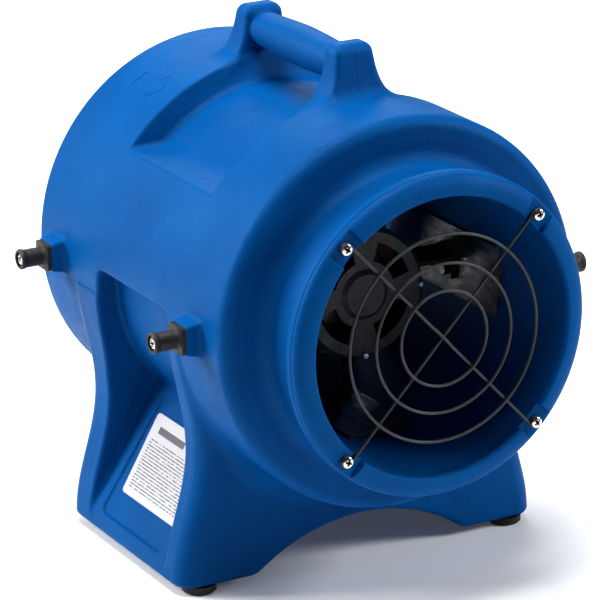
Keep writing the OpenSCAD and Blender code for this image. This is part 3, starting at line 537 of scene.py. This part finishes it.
def tunnelProfile():
    t = tunnel
    seam = drum["faceSeam"]
    front, rear, f = drum["front"], drum["rear"], t["neckFillet"]
    outer = [(seam + 3, front + 0.4), (seam, front), (t["neck"] + f + 4, front)]
    outer += arcPoints(t["neck"] + f, front - f, f, f, 90, 180, 10)
    outer += [(t["neck"], -180.0), (t["neck"] - 0.4, -190.0), (t["neck"], -200.0)]
    outer += arcPoints(t["neck"] + 3.0, -203.0, 3.0, 3.5, 180, 235, 3)
    outer += [(t["collar"] - 2.2, t["bandRear"] - 0.6)]
    outer += arcPoints(t["collar"] - 1.8, t["bandRear"] - 2.0, 1.8, 1.6, 70, 0, 3)
    outer += [(t["collar"], t["bandFront"] + 1.0), (t["collar"] - t["stepLine"], t["bandFront"] + 0.6)]
    outer += arcPoints(t["lip"], t["bandFront"], t["collar"] - t["stepLine"] - t["lip"],
                       t["bandFront"] - t["nose"], 0, -90, 22)
    outer += arcPoints(t["lip"], t["nose"] + 6, t["lip"] - t["radius"], 6, -97, -180, 7)
    outer += [(t["radius"], y) for y in np.linspace(-215, 200, 22)]
    outer += arcPoints(t["radius"] + t["mouth"], rear - t["mouth"], t["mouth"], t["mouth"], 180, 90, 12)
    outer += [(seam - 8, rear), (seam, rear), (seam + 3, rear - 0.4)]
    return np.array(outer)


def tunnelSkin():
    t = tunnel
    profile = tunnelProfile()
    around = list(np.arange(0, 360, 1.25))
    for corner in (45, 135, 225, 315):
        for s in (-1, 1):
            around += [corner + s * (t["padHalf"] + k * t["padEdge"])
                       for k in (-1.5, -1, -0.5, 0, 0.5, 1, 1.5)]
    around = np.unique(np.round(around, 3))
    nearest = np.abs((around - 45 + 45) % 90 - 45)
    depth = np.clip((t["padHalf"] + t["padEdge"] - nearest) / (2 * t["padEdge"]), 0, 1)
    depth = depth * depth * (3 - 2 * depth)
    r, y = profile[:, 0], profile[:, 1]
    yPad = np.clip(y, t["padFront"], t["padRear"])
    yAll = y[None, :] + (yPad - y)[None, :] * depth[:, None]
    # pads stop short of the outer skin at the rear
    keepRear = (r > 151.0) & (y > 200)
    yAll[:, keepRear] = y[keepRear]
    a = np.radians(around)[:, None]
    verts = np.stack([r * np.cos(a), yAll, axisZ + r * np.sin(a)], -1)
    n, k = len(around), len(profile)
    i, j = np.meshgrid(np.arange(n), np.arange(k - 1), indexing="ij")
    i2 = (i + 1) % n
    faces = np.stack([i * k + j, i * k + j + 1, i2 * k + j + 1, i2 * k + j], -1).reshape(-1, 4)
    o = meshObject("tunnelSkin", verts.reshape(-1, 3) * mm, faces)
    bm = bmesh.new()
    bm.from_mesh(o.data)
    bm.faces.ensure_lookup_table()
    # a bore face must look at the axis
    probe = min(bm.faces, key=lambda q: abs(q.calc_center_median().y) + abs(
        math.hypot(q.calc_center_median().x, q.calc_center_median().z - axisZ * mm) - t["radius"] * mm))
    c = probe.calc_center_median()
    if probe.normal.dot(Vector((c.x, 0, c.z - axisZ * mm))) > 0:
        bmesh.ops.reverse_faces(bm, faces=bm.faces)
    bm.to_mesh(o.data)
    bm.free()
    smoothByAngle(o, 38)
    print("tunnelSkin", len(faces) * 2, "triangles")
    return o


finishPiece(tunnelSkin(), "root", "blue_housing", *tunnelNodes)


def newTree(name, *inputs):
    tree = bpy.data.node_groups.new(name, "GeometryNodeTree")
    tree.interface.new_socket("Geometry", in_out="INPUT", socket_type="NodeSocketGeometry")
    for label, kind in inputs:
        tree.interface.new_socket(label, in_out="INPUT", socket_type="NodeSocket" + kind)
    tree.interface.new_socket("Geometry", in_out="OUTPUT", socket_type="NodeSocketGeometry")
    return tree, tree.nodes.new("NodeGroupInput"), tree.nodes.new("NodeGroupOutput")


def runTree(o, tree, values):
    modifier = o.modifiers.new(tree.name, "NODES")
    modifier.node_group = tree
    for item in tree.interface.items_tree:
        if item.in_out == "INPUT" and item.name in values:
            modifier[item.identifier] = values[item.name]
    bpy.context.view_layer.update()
    made = bpy.data.meshes.new_from_object(o.evaluated_get(bpy.context.evaluated_depsgraph_get()))
    o.modifiers.remove(modifier)
    o.data = made
    return o


def endTree(tree, geometry, given, finishSocket, out, smooth=True):
    real = tree.nodes.new("GeometryNodeRealizeInstances")
    tree.links.new(geometry, real.inputs["Geometry"])
    last = real.outputs["Geometry"]
    if smooth:
        shade = tree.nodes.new("GeometryNodeSetShadeSmooth")
        tree.links.new(last, shade.inputs["Geometry"])
        last = shade.outputs["Geometry"]
    paint = tree.nodes.new("GeometryNodeSetMaterial")
    tree.links.new(last, paint.inputs["Geometry"])
    tree.links.new(given.outputs[finishSocket], paint.inputs["Material"])
    tree.links.new(paint.outputs["Geometry"], out.inputs["Geometry"])


def wireTree():
    tree, given, out = newTree("wireAlongPaths", ("wireRadius", "Float"), ("sides", "Int"),
                               ("finish", "Material"))
    toCurve = tree.nodes.new("GeometryNodeMeshToCurve")
    tree.links.new(given.outputs["Geometry"], toCurve.inputs["Mesh"])
    ring = tree.nodes.new("GeometryNodeCurvePrimitiveCircle")
    tree.links.new(given.outputs["wireRadius"], ring.inputs["Radius"])
    tree.links.new(given.outputs["sides"], ring.inputs["Resolution"])
    sweep = addNode(tree, "GeometryNodeCurveToMesh")
    sweep.inputs["Fill Caps"].default_value = True
    tree.links.new(toCurve.outputs["Curve"], sweep.inputs["Curve"])
    tree.links.new(ring.outputs["Curve"], sweep.inputs["Profile Curve"])
    endTree(tree, sweep.outputs["Mesh"], given, "finish", out)
    return tree


def screwTree():
    tree, given, out = newTree("screwsOnPoints", ("screw", "Object"), ("finish", "Material"))
    info = addNode(tree, "GeometryNodeObjectInfo")
    tree.links.new(given.outputs["screw"], info.inputs["Object"])
    turn = addNode(tree, "GeometryNodeInputNamedAttribute", data_type="FLOAT_VECTOR", Name="turn")
    toRotation = tree.nodes.new("FunctionNodeEulerToRotation")
    tree.links.new(turn.outputs["Attribute"], toRotation.inputs["Euler"])
    place = tree.nodes.new("GeometryNodeInstanceOnPoints")
    tree.links.new(given.outputs["Geometry"], place.inputs["Points"])
    tree.links.new(info.outputs["Geometry"], place.inputs["Instance"])
    tree.links.new(toRotation.outputs["Rotation"], place.inputs["Rotation"])
    endTree(tree, place.outputs["Instances"], given, "finish", out, smooth=False)
    return tree


wires = wireTree()
screws = screwTree()

guard = {"wireRadius": 1.5, "sides": 16, "screwCircle": 141.0, "eye": 4.6, "step": 2.8,
         "outletRings": (97.6, 70.4, 44.7), "inletRings": (24.0, 47.0, 70.0, 93.0, 116.0)}


def circlePath(radius, y, n=160):
    a = 2 * math.pi * np.arange(n) / n
    return [(radius * math.cos(t), y, axisZ + radius * math.sin(t)) for t in a], True


def crossPath(angle, y, bend, turn):
    # the straight run touches both hooks on opposite sides, so it is turned a little from the screws
    reach, eye = guard["screwCircle"], guard["eye"]
    lean = math.asin(eye / reach) * turn
    run = math.sqrt(reach * reach - eye * eye)
    dips = [] if not bend else [(16, 0), (14, 0.06), (12, 0.25), (8, 0.75), (6, 0.94), (4, 1.0)]
    half = [(run, 0)] + dips
    marks = half + [(-u, b) for u, b in reversed(half)]
    marks = [(u, 0.0, b * bend) for u, b in marks]
    hook = [(run + eye * math.sin(math.radians(t)), turn * eye * (1 - math.cos(math.radians(t))), 0.0)
            for t in range(300, 10, -15)]
    marks = hook + marks + [(-u, -v, b) for u, v, b in reversed(hook)]
    a = math.radians(angle) + lean
    c, s = math.cos(a), math.sin(a)
    return [(u * c + v * s, y + b, axisZ + u * s - v * c) for u, v, b in marks], False


def pathMesh(name, paths):
    verts, edges = [], []
    for points, closed in paths:
        first = len(verts)
        verts += [(x * mm, y * mm, z * mm) for x, y, z in points]
        edges += [(i, i + 1) for i in range(first, len(verts) - 1)]
        if closed:
            edges.append((len(verts) - 1, first))
    return meshObject(name, verts, [], edges)


def wireGuard(name, side, wireY, rings, firstAngle, *nodes):
    # side is -1 at the outlet and 1 at the inlet; the rings lie outside the cross wires
    paths = [circlePath(r, wireY + side * guard["step"]) for r in rings]
    paths.append(crossPath(firstAngle, wireY, 0, 1))
    paths.append(crossPath(firstAngle + 90, wireY, side * guard["step"], -1))
    o = runTree(pathMesh(name, paths), wires, {
        "wireRadius": guard["wireRadius"] * mm, "sides": guard["sides"], "finish": finish["guard_wire"]})
    return finishPiece(o, "root", "guard_wire", *nodes)


outletWireY = tunnel["padFront"] - guard["wireRadius"]
inletWireY = tunnel["padRear"] + guard["wireRadius"]
wireGuard("outletGuard", -1, outletWireY, guard["outletRings"], 45, "outlet_guard_ring_large",
          "outlet_guard_ring_middle", "outlet_guard_ring_small", "outlet_guard_wires")
wireGuard("inletGuard", 1, inletWireY, guard["inletRings"], 45, "inlet_guard_wires",
          *["inlet_guard_ring_%d" % i for i in range(1, 6)])
print("guards built")


def crossHeadScrew(name, headR, headH, shankR, shankL, recessR, dome=0.55):
    # pan head about +Z with its seat at z = 0; the driver recess is pressed into the polar grid
    rings = [0, 0.07, 0.14, 0.2, 0.27, 0.34, 0.41, 0.48, 0.56, 0.64, 0.73, 0.82, 0.9, 0.96, 1.0]
    segs = 48
    verts = [(0, 0, 0)]
    for q in rings[1:]:
        for s in range(segs):
            a = 2 * math.pi * s / segs
            verts.append((q * headR * math.cos(a), q * headR * math.sin(a), 0))
    verts = np.array(verts)
    q = np.hypot(verts[:, 0], verts[:, 1]) / headR
    top = headH * (1 - dome * (1 - np.sqrt(np.clip(1 - (q * 0.97) ** 2.6, 0, 1))))
    ax, ay = np.abs(verts[:, 0]), np.abs(verts[:, 1])
    longer, shorter = np.maximum(ax, ay), np.minimum(ax, ay)
    arm = np.clip((recessR - longer) / (recessR * 0.4), 0, 1)
    width = np.clip(1 - (shorter / (headR * 0.19)) ** 2, 0, 1)
    sunk = arm ** 0.6 * width ** 0.5
    verts[:, 2] = top - headH * 0.85 * sunk
    faces = [(0, 1 + s, 1 + (s + 1) % segs) for s in range(segs)]
    for k in range(len(rings) - 2):
        for s in range(segs):
            a, b = 1 + k * segs + s, 1 + k * segs + (s + 1) % segs
            faces.append((a, a + segs, b + segs, b))
    rim = len(verts) - segs
    verts = list(map(tuple, verts))
    loops = [(headR, headH * 0.12), (headR * 0.96, 0), (shankR, 0), (shankR, -shankL)]
    for r, z in loops:
        for s in range(segs):
            a = 2 * math.pi * s / segs
            verts.append((r * math.cos(a), r * math.sin(a), z))
    for k in range(len(loops)):
        for s in range(segs):
            a, b = rim + k * segs + s, rim + k * segs + (s + 1) % segs
            faces.append((a, a + segs, b + segs, b))
    faces.append(tuple(range(len(verts) - 1, len(verts) - segs - 1, -1)))
    o = meshObject(name, np.array(verts) * mm, faces)
    # painted shade: this attribute grows with the recess depth and darkens the driver recess
    recessShade = o.data.attributes.new("recess", "FLOAT", "POINT")
    for i, depth in enumerate(sunk):
        recessShade.data[i].value = min(1.0, 1.5 * depth)
    smoothByAngle(o, 40)
    return o


def placeScrews(name, screw, places, slotName, *nodes):
    # places are (point, direction the head looks, spin in degrees)
    o = meshObject(name, [np.array(p) * mm for p, d, s in places], [])
    turn = o.data.attributes.new("turn", "FLOAT_VECTOR", "POINT")
    for i, (p, d, spin) in enumerate(places):
        q = Vector(d).to_track_quat("Z", "Y") @ Matrix.Rotation(math.radians(spin), 3, "Z").to_quaternion()
        turn.data[i].vector = q.to_euler()
    runTree(o, screws, {"screw": screw, "finish": finish[slotName]})
    bpy.data.objects.remove(screw)
    return finishPiece(o, "root", slotName, *nodes)


def boxMid(node):
    lo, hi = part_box(node)
    return (lo + hi) / 2 / mm


spins = (12, 57, -20, 35, 70, -40, 5, 28)


def guardPlaces(y, d, first):
    return [
        ((guard["screwCircle"] * math.cos(math.radians(a)), y,
          axisZ + guard["screwCircle"] * math.sin(math.radians(a))), (0, d, 0), spins[first + i])
        for i, a in enumerate((45, 135, 225, 315))]


placeScrews("outletGuardScrews", crossHeadScrew("guardScrew", 5.2, 3.0, 2.4, 14, 3.0),
            guardPlaces(tunnel["padFront"] - 3, -1, 0), "bright_steel", "outlet_guard_screws")
placeScrews("inletGuardScrews", crossHeadScrew("guardScrewRear", 5.2, 3.0, 2.4, 14, 3.0),
            guardPlaces(tunnel["padRear"] + 3, 1, 4), "bright_steel", "inlet_guard_screws")
postX = boxMid("cord_post_front_right").x + (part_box("cord_post_front_right")[1].x / mm
                                             - boxMid("cord_post_front_right").x)
postPlaces = [((s * (postX - 4.5), at, axisZ + boss["z"]), (s, 0, 0), spins[i])
              for i, (s, at) in enumerate([(s, at) for s in (-1, 1) for at in boss["stations"]])]
placeScrews("cordPostScrews", crossHeadScrew("postScrew", 6.3, 3.8, 2.5, 30, 3.6),
            postPlaces, "bright_steel", "cord_post_screws")
print("screws placed")

# thin ribs laid on the skin, most of each sunk into it

marks = {"arrowRadius": 1.1, "arrowSunk": 0.55, "seamRadius": 0.55, "seamSunk": 0.3}


def onDrum(angle, y, radius):
    a = math.radians(angle)
    return (radius * math.cos(a), y, axisZ + radius * math.sin(a))


def flowArrow():
    r = drum["radius"] - marks["arrowSunk"]
    spots = [(118.3, 178), (118.3, 144), (116.0, 144), (121.3, 130), (126.6, 144), (124.3, 144),
             (124.3, 178)]
    points = []
    for (a0, y0), (a1, y1) in zip(spots, spots[1:] + spots[:1]):
        for k in range(8):
            f = k / 8
            points.append(onDrum(a0 + (a1 - a0) * f, y0 + (y1 - y0) * f, r))
    return points, True


arrow = runTree(pathMesh("flowArrow", [flowArrow()]), wires, {
    "wireRadius": marks["arrowRadius"] * mm, "sides": 10, "finish": finish["blue_housing"]})
finishPiece(arrow, "root", "blue_housing")


def seamAlong(starts, step, count):
    # walks over the skin in the middle plane, from a point in a direction that turns with it
    points = []
    p = np.array([[0.0, starts[0], starts[1]]])
    heading = np.array([starts[2], starts[3]], float)
    for _ in range(count):
        for _ in range(3):
            g = fieldNormals(p, 0.05)
            p = p - g * (housingField(*p.T) / np.maximum((g ** 2).sum(1), 0.2))[:, None]
        g = fieldNormals(p, 0.4)[0, 1:]
        g /= max(np.hypot(*g), 1e-6)
        along = np.array([-g[1], g[0]])
        if along @ heading < 0:
            along = -along
        heading = along
        inner = p[0, 1:] - g * marks["seamSunk"]
        points.append((0.0, inner[0], inner[1]))
        p = p + np.array([[0.0, along[0] * step, along[1] * step]])
    return points, False


seams = [
    seamAlong((-150.0, axisZ + drum["radius"], 1, 0), 1.5, 84),      # over the drum's front and up the post
    seamAlong((-30.0, axisZ + recess["floor"], 1, 0), 1.5, 70),      # along the floor of the recess
]
seamRibs = runTree(pathMesh("mouldSeam", seams), wires, {
    "wireRadius": marks["seamRadius"] * mm, "sides": 8, "finish": finish["blue_housing"]})
finishPiece(seamRibs, "root", "blue_housing")
print("mould marks built")

camera = {"azimuth": -31.49, "elevation": 19.5, "distance": 3.22378, "lens": 216.056,
          "pan": -2.3, "tilt": -0.6, "roll": 0.29, "aim": (0.0, -0.226, 0.268)}


def placeCamera():
    a, e = math.radians(camera["azimuth"]), math.radians(camera["elevation"])
    back = Vector((math.sin(a) * math.cos(e), -math.cos(a) * math.cos(e), math.sin(e)))
    right = Vector((math.cos(a), math.sin(a), 0))
    level = Matrix((right, right.cross(-back), -back))
    p, t, r = (math.radians(camera[k]) for k in ("pan", "tilt", "roll"))
    pan = Matrix(((math.cos(p), 0, -math.sin(p)), (0, 1, 0), (math.sin(p), 0, math.cos(p))))
    tilt = Matrix(((1, 0, 0), (0, math.cos(t), math.sin(t)), (0, -math.sin(t), math.cos(t))))
    roll = Matrix(((math.cos(r), math.sin(r), 0), (-math.sin(r), math.cos(r), 0), (0, 0, 1)))
    rows = roll @ tilt @ pan @ level
    turn = Matrix((rows[0], rows[1], -rows[2])).transposed()
    data = bpy.data.cameras.new("camera")
    data.lens, data.sensor_width = camera["lens"], 36
    data.clip_start, data.clip_end = 0.1, 60
    o = bpy.data.objects.new("camera", data)
    o.matrix_world = Matrix.Translation(Vector(camera["aim"]) + back * camera["distance"]) @ turn.to_4x4()
    bpy.context.scene.collection.objects.link(o)
    bpy.context.scene.camera = o


studio = {"near": -6.0, "far": 7.0, "rise": 5.0, "run": 2.5, "halfWidth": 9.0,
          "darkTone": 0.90, "lightTone": 0.93, "glow": 0.05, "worldStrength": 0.02}


def addFloor():
    # a large floor that curves up behind into a wall
    far, rise, run = (studio[k] for k in ("far", "rise", "run"))
    profile = [(studio["near"], 0.0), (far - run, 0.0)]
    profile += [(far - run + run * math.sin(math.radians(t)), run - run * math.cos(math.radians(t)))
                for t in range(10, 91, 10)]
    profile += [(far, rise)]
    verts = [(x, y, z) for y, z in profile
             for x in (-studio["halfWidth"], studio["halfWidth"])]
    faces = [(2 * i, 2 * i + 1, 2 * i + 3, 2 * i + 2) for i in range(len(profile) - 1)]
    o = meshObject("floor", verts, faces)
    o.data.shade_smooth()
    paint, tree, shader, coords = plainStart("floorPaint")
    tone = noiseTexture(tree, coords, 1.2, 2.0)
    tree.links.new(ramp(tree, tone, (studio["darkTone"],) * 3, (studio["lightTone"],) * 3),
                   shader.inputs["Base Color"])
    shader.inputs["Roughness"].default_value = 0.9
    shader.inputs["Specular IOR Level"].default_value = 0.1
    shader.inputs["Emission Color"].default_value = (1.0, 1.0, 1.0, 1.0)
    shader.inputs["Emission Strength"].default_value = studio["glow"]
    o.data.materials.append(paint)


objectMiddle = (0.0, 0.0, 0.25)
lights = [
    # name, place, target, size, power
    ("topBox", (-0.2, -0.1, 2.4), objectMiddle, 1.1, 52),
    ("leftBox", (-1.9, 1.3, 1.4), objectMiddle, 1.1, 66),
    ("rightBox", (2.3, -1.5, 1.6), objectMiddle, 1.0, 56),
    ("floorBox", (1.1, 2.1, 1.7), (1.1, 2.1, 0.0), 1.8, 36),
]


def addLights():
    for name, place, target, size, power in lights:
        data = bpy.data.lights.new(name, "AREA")
        data.shape, data.size, data.energy = "SQUARE", size, power
        o = bpy.data.objects.new(name, data)
        o.location = place
        o.rotation_mode = "QUATERNION"
        o.rotation_quaternion = (Vector(target) - Vector(place)).to_track_quat("-Z", "Y")
        bpy.context.scene.collection.objects.link(o)
    world = bpy.data.worlds.new("studio")
    world.use_nodes = True
    world.node_tree.nodes["Background"].inputs["Color"].default_value = (1, 1, 1, 1)
    world.node_tree.nodes["Background"].inputs["Strength"].default_value = studio["worldStrength"]
    bpy.context.scene.world = world
    view = bpy.context.scene.view_settings
    view.view_transform = "Standard"
    view.look = "Medium High Contrast"


placeCamera()
addFloor()
addLights()
